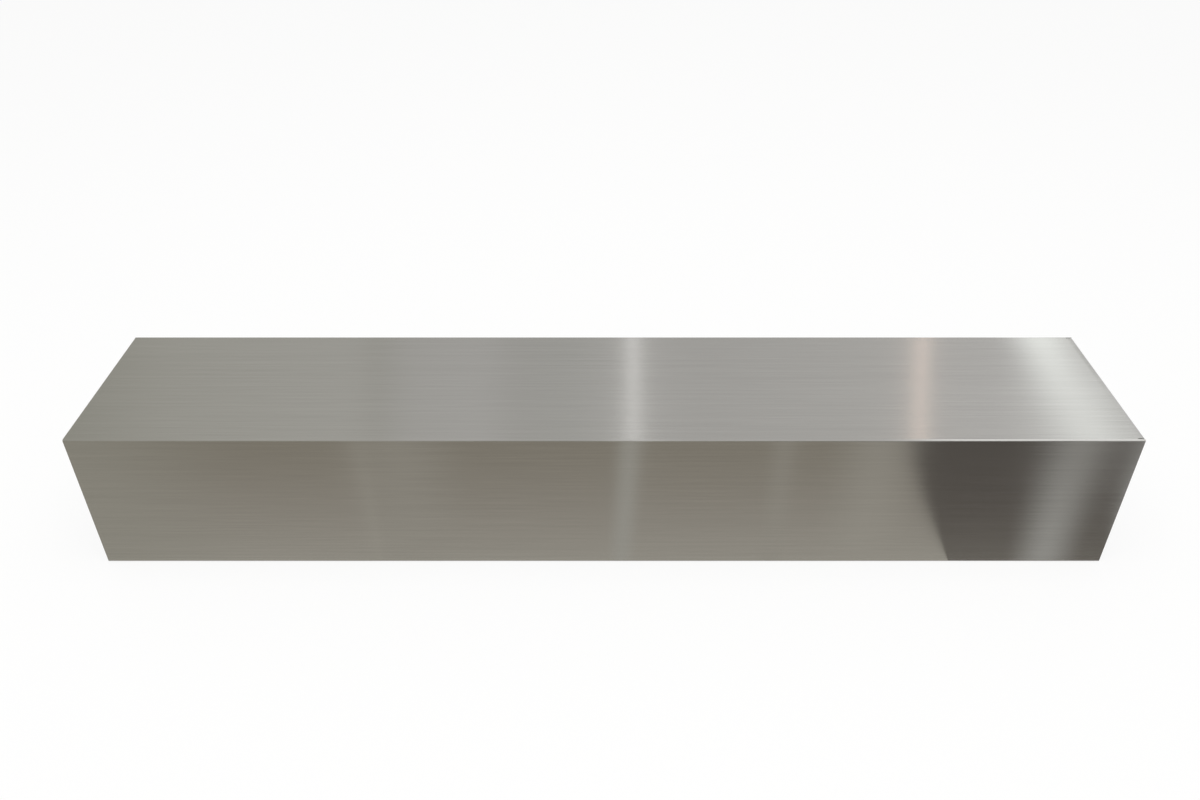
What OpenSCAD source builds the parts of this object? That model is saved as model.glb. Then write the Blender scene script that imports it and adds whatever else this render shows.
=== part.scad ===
// Chimney cover of a cooker hood: one sheet of brushed stainless steel, folded into a
// channel that hides the flue pipe. It lies on its open back here, front panel up, with
// its length along X and the middle of its back at the origin. Sizes are in millimetres.

/* [Cover] */
// Length, from the plain end that stands on the hood to the hemmed end
cover_l = 1100; // [600:10:1500]
// Width of the front panel, over both side panels
cover_w = 200; // [120:1:320]
// Depth, from the wall to the face of the front panel
cover_d = 170; // [100:1:300]

/* [Sheet] */
// Thickness of the sheet
sheet_t = 0.7; // [0.5:0.1:1.2]
// Inside radius of the four long folds
fold_r = 1.3; // [0.5:0.1:3]

/* [Back flanges] */
// Width of each back flange, from the outside of its side panel to its free edge
flange_w = 15; // [12:1:30]
// Angle that each flange's end is cut back at, so that it clears the wall bracket
mitre_a = 45; // [20:5:60]
// Diameter of the screw holes in the flanges
screw_d = 5; // [3:0.5:6]
// Distance from either end of the cover to the nearest screw hole
screw_end = 40; // [35:1:150]

/* [Hem] */
// Width of the hem that is folded under the front panel at one end
hem_w = 5.5; // [4:0.5:12]
// Gap left between the hem's leaf and the panel that it is pressed against
hem_gap = 0.3; // [0.1:0.1:0.6]
// Angle that the pressed hem dips below the front panel
hem_dip = 2; // [0:0.5:4]
// Width of the relief slot between the hem and each fold
relief_w = 1.5; // [1:0.25:3]
// How far each relief slot runs on past the hem, to the middle of its round end
relief_past = 1; // [0.5:0.25:4]

/* [Hidden] */

$fn = 64;
// How far a cut reaches past the sheet that it goes through
overcut = 1;
// Outside radius of the folds
fold_out = fold_r + sheet_t;
// Where the flat of the front panel and of the flanges ends and the fold begins
flat_y = cover_w / 2 - fold_out;
// Middle of the flat strip of a flange, where its screw holes are
screw_y = cover_w / 2 - (flange_w + fold_out) / 2;
// Line across the front panel where the hem starts
hem_x = cover_l / 2 - hem_w;
// Outside radius of the hem's folded nose
nose_r = sheet_t + hem_gap / 2;

// Rectangle with round corners, centred on X and standing on Y = base
module rounded_rect(w, d, r, base) {
    translate([-w / 2 + r, base])
        square([w - 2 * r, d]);
    translate([-w / 2, base + r])
        square([w, d - 2 * r]);
    for (side = [-1, 1], y = [base + r, base + d - r])
        translate([side * (w / 2 - r), y])
            circle(r);
}

// The folded section: the outer skin less the inner skin, open between the flanges
module channel_section() {
    back_gap = cover_w - 2 * flange_w;
    difference() {
        rounded_rect(cover_w, cover_d, fold_out, 0);
        rounded_rect(cover_w - 2 * sheet_t, cover_d - 2 * sheet_t, fold_r, sheet_t);
        translate([-back_gap / 2, -overcut])
            square([back_gap, sheet_t + 2 * overcut]);
    }
}

// The folded sheet at its full length, before its ends are cut
module channel() {
    rotate([90, 0, 90])
        linear_extrude(cover_l, center = true)
            channel_section();
}

// Copies its children to the same place on the other side of the cover
module both_sides() {
    for (side = [0, 1])
        mirror([0, side, 0])
            children();
}

// Copies its children to the same place at the other end of the cover
module both_ends() {
    for (end = [0, 1])
        mirror([end, 0, 0])
            children();
}

// What a mitre takes off the end of a flange, from its fold to its free edge
module mitre_cut() {
    reach = 2 * flange_w;
    translate([cover_l / 2, flat_y, -overcut])
        linear_extrude(sheet_t + 2 * overcut)
            rotate(-mitre_a)
                translate([0, -reach])
                    square(reach);
}

// One screw hole through a flange
module screw_hole() {
    translate([cover_l / 2 - screw_end, screw_y, -overcut])
        cylinder(d = screw_d, h = sheet_t + 2 * overcut);
}

// Takes the front panel back to the line where the hem starts
module hem_seat() {
    translate([hem_x, -flat_y, cover_d - sheet_t - overcut])
        cube([hem_w + overcut, 2 * flat_y, sheet_t + 2 * overcut]);
}

// Slot with a round end, which lets the hem fold without tearing the long fold
module relief_slot() {
    hem_depth = 2 * nose_r + hem_w * sin(hem_dip);
    translate([hem_x - relief_past, flat_y - relief_w / 2, cover_d - hem_depth - overcut])
        linear_extrude(hem_depth + 2 * overcut) {
            circle(d = relief_w);
            translate([0, -relief_w / 2])
                square([relief_past + hem_w + overcut, relief_w]);
        }
}

// Section of the hem along X: the sheet turns back under itself round a small nose
module hem_section() {
    strip_l = hem_w - nose_r;
    difference() {
        union() {
            translate([0, -2 * nose_r])
                square([strip_l, 2 * nose_r]);
            translate([strip_l, -nose_r])
                circle(nose_r);
        }
        translate([-overcut, -nose_r - hem_gap / 2])
            square([strip_l + overcut, hem_gap]);
        translate([strip_l, -nose_r])
            circle(d = hem_gap);
    }
}

// The hem, tipped about its inner line so that its nose lies a little low.
// It reaches into the relief slots, which trim it to its length.
module hem() {
    translate([hem_x, 0, cover_d])
        rotate([0, hem_dip, 0])
            rotate([90, 0, 0])
                linear_extrude(2 * flat_y - relief_w, center = true)
                    hem_section();
}

// The folded sheet with its hem, before slots, mitres and holes are cut
module hemmed_channel() {
    difference() {
        channel();
        hem_seat();
    }
    hem();
}

// The whole cover: one folded sheet, cut at its ends and hemmed at one of them
module chimney_cover() {
    color("silver")
        difference() {
            hemmed_channel();
            both_sides() {
                relief_slot();
                both_ends() {
                    mitre_cut();
                    screw_hole();
                }
            }
        }
}

chimney_cover();
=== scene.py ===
# %% [markdown]
# # Cooker hood chimney cover in brushed stainless steel
# The cover is one sheet of stainless steel, 0.7 mm thick, folded into a long channel that hides the
# flue pipe above a cooker hood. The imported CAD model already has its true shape: four long folds, a
# pressed hem at one end and drilled flanges at the back. So this lesson makes no new mesh. It gives
# the sheet its brushed finish, and then builds the small studio that such a finish needs, because
# bare metal has no colour of its own worth seeing: it shows what stands around it.

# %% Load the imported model
import math
import bpy
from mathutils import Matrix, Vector


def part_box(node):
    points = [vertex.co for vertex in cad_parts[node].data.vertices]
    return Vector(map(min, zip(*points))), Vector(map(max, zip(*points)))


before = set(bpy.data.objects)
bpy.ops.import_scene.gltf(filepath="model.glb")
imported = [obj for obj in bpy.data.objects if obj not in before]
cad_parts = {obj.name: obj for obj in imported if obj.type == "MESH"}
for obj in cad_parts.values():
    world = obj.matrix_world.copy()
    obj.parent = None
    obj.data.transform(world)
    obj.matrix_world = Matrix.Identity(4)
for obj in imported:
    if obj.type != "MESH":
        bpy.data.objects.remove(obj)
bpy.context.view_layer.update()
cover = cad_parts["chimney_cover"]
cover_low, cover_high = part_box("chimney_cover")
print("cover, mm:", [round(1000 * (b - a), 2) for a, b in zip(cover_low, cover_high)])
me = cover.data
print("normals", me.has_custom_normals, "smooth", sum(p.use_smooth for p in me.polygons), len(me.polygons), len(me.vertices))

# %% [markdown]
# ## Camera
# The photograph looks down on the front panel and the near side from a little above head height of a
# kneeling person. The lens is wide, 30 mm on a full frame sensor, and the camera is level.

# %% The camera
MM = 0.001


def direction_down(pitch_deg):
    """Unit vector that looks along +Y and down by an angle in degrees."""
    pitch = math.radians(pitch_deg)
    return Vector((0.0, math.cos(pitch), -math.sin(pitch)))


camera_data = bpy.data.cameras.new("camera")
camera_data.sensor_width = 36.0
camera_data.lens = 30.26
camera = bpy.data.objects.new("camera", camera_data)
camera.location = Vector((-4.2, -913.2, 792.5)) * MM
camera.rotation_euler = direction_down(35.15).to_track_quat("-Z", "Y").to_euler()
bpy.context.scene.collection.objects.link(camera)
bpy.context.scene.camera = camera
print("camera at", [round(v, 3) for v in camera.location])

# %% [markdown]
# ## Two small helpers
# Colours are written as sRGB hex and turned linear in one place. Nodes are made by one function.

# %% Helpers for colours and nodes


def linear(hex_colour):
    """Linear RGBA of an sRGB hex colour."""
    parts = [int(hex_colour[i:i + 2], 16) / 255 for i in (1, 3, 5)]
    return [c / 12.92 if c <= 0.04045 else ((c + 0.055) / 1.055) ** 2.4 for c in parts] + [1.0]


def add_node(tree, kind, settings=None, **links):
    """Adds a node. settings are its own properties; links are input names with a value or an output socket."""
    node = tree.nodes.new("ShaderNode" + kind)
    for name, value in (settings or {}).items():
        setattr(node, name, value)
    for name, value in links.items():
        key = int(name[1:]) if name[0] == "_" else name.replace("_", " ")
        socket = node.inputs[key]
        if isinstance(value, bpy.types.NodeSocket):
            tree.links.new(value, socket)
        else:
            socket.default_value = value
    return node


def new_material(name):
    material = bpy.data.materials.new(name)
    material.use_nodes = True
    material.node_tree.nodes.clear()
    return material, material.node_tree


# %% [markdown]
# ## Brushed stainless steel

# %% Brushed stainless steel
steel, tree = new_material("brushed_stainless_steel")
place = add_node(tree, "TexCoord").outputs["Object"]


def stretched_noise(scale, detail=2.0, roughness=0.5):
    at = add_node(tree, "Mapping", {"vector_type": "POINT"}, Vector=place, Scale=scale).outputs["Vector"]
    return add_node(tree, "TexNoise", None, Vector=at, Scale=1.0, Detail=detail, Roughness=roughness).outputs["Fac"]


fine = stretched_noise((14.0, 2600.0, 2600.0), 1.0)
coarse = stretched_noise((3.0, 420.0, 420.0), 3.0, 0.7)
cloud = stretched_noise((2.2, 5.0, 5.0), 2.0)
wave = stretched_noise((2.6, 5.5, 5.5), 1.0, 0.4)
grain = add_node(tree, "Mix", {"data_type": "FLOAT"}, Factor=0.5, A=fine, B=coarse).outputs["Result"]
rough = add_node(tree, "MapRange", None, Value=grain, From_Min=0.3, From_Max=0.7, To_Min=0.185, To_Max=0.225)
shade = add_node(tree, "MapRange", None, Value=grain, From_Min=0.3, From_Max=0.7, To_Min=0.0, To_Max=1.0)
tone = add_node(tree, "Mix", {"data_type": "RGBA"}, Factor=shade.outputs["Result"])
tone.inputs["A"].default_value
sock = [i for i in tone.inputs if i.type == "RGBA"]
sock[0].default_value = linear("#ABAAA7")
sock[1].default_value = linear("#B9B8B5")
base = [o for o in tone.outputs if o.type == "RGBA"][0]
waviness = add_node(tree, "Bump", None, Height=wave, Strength=1.0, Distance=0.0006)
bump = add_node(tree, "Bump", None, Height=grain, Strength=0.35, Distance=0.00002, Normal=waviness.outputs["Normal"])
tangent = add_node(tree, "CombineXYZ", None, X=1.0, Y=0.0, Z=0.0)
shader = add_node(tree, "BsdfPrincipled", None, Base_Color=base, Metallic=1.0, Roughness=rough.outputs["Result"], Anisotropic=1.0,
                  Anisotropic_Rotation=0.25, Normal=bump.outputs["Normal"], Tangent=tangent.outputs["Vector"])
output = add_node(tree, "OutputMaterial", None, Surface=shader.outputs["BSDF"])
cover.data.materials.clear()
cover.data.materials.append(steel)

# %% [markdown]
# ## Floor and background

# %% Floor
floor_mesh = bpy.data.meshes.new("floor")
size = 12.0
floor_mesh.from_pydata([(-size, -size, 0), (size, -size, 0), (size, size, 0), (-size, size, 0)], [], [(0, 1, 2, 3)])
floor = bpy.data.objects.new("floor", floor_mesh)
floor.location.z = -0.0002
bpy.context.scene.collection.objects.link(floor)
paper, tree = new_material("floor_paper")
path = add_node(tree, "LightPath")
seen = add_node(tree, "Math", {"operation": "MAXIMUM"}, _0=path.outputs["Is Camera Ray"], _1=path.outputs["Is Glossy Ray"])
seen = add_node(tree, "Math", {"operation": "MAXIMUM"}, _0=seen.outputs[0], _1=path.outputs["Is Transmission Ray"])
lit = add_node(tree, "BsdfDiffuse", None, Color=linear("#F4F4F2"))
glow = add_node(tree, "Emission", None, Color=linear("#FFFFFF"), Strength=1.0)
both = add_node(tree, "MixShader", None, _0=0.86, _1=lit.outputs[0], _2=glow.outputs[0])
pick = add_node(tree, "MixShader", None, _0=seen.outputs[0], _1=lit.outputs[0], _2=both.outputs[0])
add_node(tree, "OutputMaterial", None, Surface=pick.outputs[0])
floor_mesh.materials.append(paper)

# %% World
world = bpy.data.worlds.new("studio")
bpy.context.scene.world = world
world.use_nodes = True
tree = world.node_tree
tree.nodes.clear()
path = add_node(tree, "LightPath")
seen = add_node(tree, "Math", {"operation": "MAXIMUM"}, _0=path.outputs["Is Camera Ray"], _1=path.outputs["Is Glossy Ray"])
seen = add_node(tree, "Math", {"operation": "MAXIMUM"}, _0=seen.outputs[0], _1=path.outputs["Is Transmission Ray"])
strength = add_node(tree, "MapRange", None, Value=seen.outputs[0], To_Min=0.7, To_Max=1.0)
sky = add_node(tree, "Background", None, Color=linear("#FFFFFF"), Strength=strength.outputs["Result"])
add_node(tree, "OutputWorld", None, Surface=sky.outputs[0])

# %% Reflection cards


def only_in_reflections(obj):
    obj.visible_camera = False
    obj.visible_diffuse = False
    obj.visible_shadow = False
    obj.visible_transmission = False


def stage_strip(name, rows, material):
    """A strip from rows of (one edge point, other edge point). Its UV map runs 0 to 1 across and along."""
    points = [Vector(p) for row in rows for p in row]
    faces = [(2 * i, 2 * i + 1, 2 * i + 3, 2 * i + 2) for i in range(len(rows) - 1)]
    mesh = bpy.data.meshes.new(name)
    mesh.from_pydata(points, [], faces)
    uv = mesh.uv_layers.new(name="strip")
    for loop in mesh.loops:
        uv.data[loop.index].uv = (loop.vertex_index % 2, (loop.vertex_index // 2) / (len(rows) - 1))
    obj = bpy.data.objects.new(name, mesh)
    bpy.context.scene.collection.objects.link(obj)
    mesh.materials.append(material)
    only_in_reflections(obj)
    return obj


def hump(tree, value, soft):
    """1 in the middle of a 0 to 1 value and 0 at both ends; soft is the share of the half width that fades."""
    centred = add_node(tree, "Math", {"operation": "MULTIPLY_ADD"}, _0=value, _1=2.0, _2=-1.0)
    away = add_node(tree, "Math", {"operation": "ABSOLUTE"}, _0=centred.outputs[0])
    return add_node(tree, "MapRange", {"interpolation_type": "SMOOTHSTEP"}, Value=away.outputs[0],
                    From_Min=1.0, From_Max=1.0 - soft, To_Min=0.0, To_Max=1.0).outputs["Result"]


def glow_card(name, colour, strength=1.0, soft=0.0, soft_ends=0.0, cover_share=1.0):
    """Emission, faded out towards the strip's long edges and ends."""
    material, tree = new_material(name)
    glow = add_node(tree, "Emission", None, Color=linear(colour), Strength=strength).outputs[0]
    if soft or soft_ends:
        uv = add_node(tree, "UVMap", {"uv_map": "strip"}).outputs["UV"]
        split = add_node(tree, "SeparateXYZ", None, Vector=uv)
        share = hump(tree, split.outputs["X"], max(soft, 0.001))
        ends = hump(tree, split.outputs["Y"], max(soft_ends, 0.001))
        both = add_node(tree, "Math", {"operation": "MULTIPLY"}, _0=share, _1=ends).outputs[0]
        both = add_node(tree, "Math", {"operation": "MULTIPLY"}, _0=both, _1=cover_share).outputs[0]
        clear = add_node(tree, "BsdfTransparent").outputs[0]
        glow = add_node(tree, "MixShader", None, _0=both, _1=clear, _2=glow).outputs[0]
    add_node(tree, "OutputMaterial", None, Surface=glow)
    return material


def ramp_card(name, axis, stops, lift=None):
    """Emission whose colour follows stops of (place, hex) along one axis; lift is (z0, gain0, z1, gain1)."""
    material, tree = new_material(name)
    low, high = stops[0][0], stops[-1][0]
    where = add_node(tree, "TexCoord").outputs["Object"]
    split = add_node(tree, "SeparateXYZ", None, Vector=where)
    share = add_node(tree, "MapRange", None, Value=split.outputs[axis], From_Min=low, From_Max=high)
    ramp = add_node(tree, "ValToRGB", None, Fac=share.outputs["Result"])
    points = ramp.color_ramp.elements
    while len(points) < len(stops):
        points.new(0.5)
    for point, (at, colour) in zip(points, stops):
        point.position = (at - low) / (high - low)
        point.color = linear(colour)
    strength = 1.0
    if lift:
        strength = add_node(tree, "MapRange", None, Value=split.outputs["Z"], From_Min=lift[0], From_Max=lift[2],
                            To_Min=lift[1], To_Max=lift[3]).outputs["Result"]
    glow = add_node(tree, "Emission", None, Color=ramp.outputs["Color"], Strength=strength)
    add_node(tree, "OutputMaterial", None, Surface=glow.outputs[0])
    return material


def arc_rows(x_at, radius, e0, e1, steps=32):
    rows = []
    for i in range(steps + 1):
        e = e0 + (e1 - e0) * i / steps
        c, d = math.cos(math.radians(e)), math.sin(math.radians(e))
        rows.append([(x, radius * c, 0.17 + radius * d) for x in x_at(e)])
    return rows


TENT = 8.0
tent = stage_strip("tent", arc_rows(lambda e: (-9.0, 7.0), TENT, -4, 184, 64), ramp_card("tent", "X", [
    (-5.2, "#BDBCB2"), (-4.3, "#CDCCC4"), (-3.9, "#D4D3CC"), (-2.2, "#DCDBD6"), (-2.03, "#D2D1CB"), (-1.75, "#DEDDDA"),
    (-1.09, "#E2E1DF"), (-0.75, "#D9D8D5"), (-0.3, "#DADAD7"), (0.29, "#E4E3E1"), (0.9, "#E1E0DE"), (2.3, "#E7E6E4"), (3.6, "#EBEAE9"),
    (4.1, "#F6F6F5"), (4.5, "#FFFFFF"), (4.62, "#E4E4E2"), (4.75, "#E4E4E2"), (4.85, "#FFFFFF")], lift=(4.0, 0.95, 5.6, 1.07)))
stage_strip("middle_strip", arc_rows(lambda e: (0.25, 0.33), TENT - 0.05, 5, 175), glow_card("middle_strip", "#FFFFFF", 1.9))


def warm_x(e):
    mid = 2.87 - 0.004 * (e - 34)
    return (mid - 0.025, mid + 0.025)


stage_strip("warm_strip", arc_rows(warm_x, TENT - 0.05, 5, 60), glow_card("warm_strip", "#FFE9DC", 3.0))
stage_strip("high_window", arc_rows(lambda e: (2.5, 5.5), TENT - 0.1, 60, 150), glow_card("high_window", "#FFFFFF", 1.7, 0.4, 0.3))

stage_strip("front_left", [[(-8.0, -8.0, 0.0005), (0.383, -8.0, 0.0005)], [(-8.0, -0.101, 0.0005), (0.383, -0.101, 0.0005)]],
            ramp_card("front_left", "Y", [(-0.55, "#A09A8C"), (-0.32, "#A9A294"), (-0.20, "#BEB8AE"), (-0.101, "#CCC8BE")]))
stage_strip("front_right", [[(0.383, -8.0, 0.0005), (8.0, -8.0, 0.0005)], [(0.383, -0.101, 0.0005), (8.0, -0.101, 0.0005)]],
            ramp_card("front_right", "Y", [(-0.6, "#57524C"), (-0.32, "#605A54"), (-0.20, "#6E6862"), (-0.101, "#8A857E")]))


def lane(d, left, right):
    """Two edge points of a floor strip that the near side shows between the same two places along X, at every height."""
    r = 1.03 + 0.12 * max(0.0, 1 - d / 0.222)
    spread = 1 + math.hypot(d, 0.766 * d) / r
    return [(left * spread, -0.101 - d, 0.0008), (right * spread, -0.101 - d, 0.0008)]


def floor_lane(name, left, right, colour, soft=1.0, share=1.0, drift=0.0, height=0.0):
    rows = [lane(d, left + drift * d, right + drift * d) for d in [i * 0.05 for i in range(20)]]
    rows = [[(x, y, z + height) for x, y, z in row] for row in rows]
    return stage_strip(name, rows, glow_card(name, colour, 1.0, soft, 0.0, share))


floor_lane("light_lane", 0.440, 0.532, "#C4C3BF")
floor_lane("middle_lane", -0.001, 0.039, "#CECCC4", drift=0.035)
floor_lane("side_lane_a", 0.164, 0.204, "#C6C2B8", share=0.6)
floor_lane("side_lane_b", -0.29, -0.13, "#C6C2B8", share=0.6)
floor_lane("side_lane_c", 0.22, 0.34, "#CCC8BE", share=0.7)
floor_lane("side_lane_d", -0.262, -0.238, "#CECABF", share=0.5, height=0.0002)
floor_lane("side_lane_left", -0.75, -0.35, "#C2BFB4", share=0.8)
floor_lane("right_light", 0.556, 0.9, "#E8E8E6", 0.02, height=0.0002)
stage_strip("behind", [[(-8.0, 0.101, 0.0005), (8.0, 0.101, 0.0005)], [(-8.0, 8.0, 0.0005), (8.0, 8.0, 0.0005)]],
            glow_card("behind", "#C4C2BC", 1.0))


def window_row(h, left, right):
    return [(left, 0.17, 0.17 + h), (right, 0.17, 0.17 + h)]


window = glow_card("window", "#FCFFFE", 1.75, 1.0)
stage_strip("window", [window_row(*row) for row in (
    (0.0, 0.455, 0.572), (0.043, 0.493, 0.602), (0.116, 0.541, 0.651), (0.206, 0.590, 0.735), (0.40, 0.70, 0.88))], window)

# %% Key lamp
lamp_data = bpy.data.lights.new("softbox", "AREA")
lamp_data.shape = "RECTANGLE"
lamp_data.size = 2.4
lamp_data.size_y = 1.6
lamp_data.energy = 30.0
lamp = bpy.data.objects.new("softbox", lamp_data)
lamp.location = (0.0, -0.4, 2.4)
lamp.visible_glossy = False
bpy.context.scene.collection.objects.link(lamp)

# %% Finish
bpy.context.scene.view_settings.view_transform = "Standard"
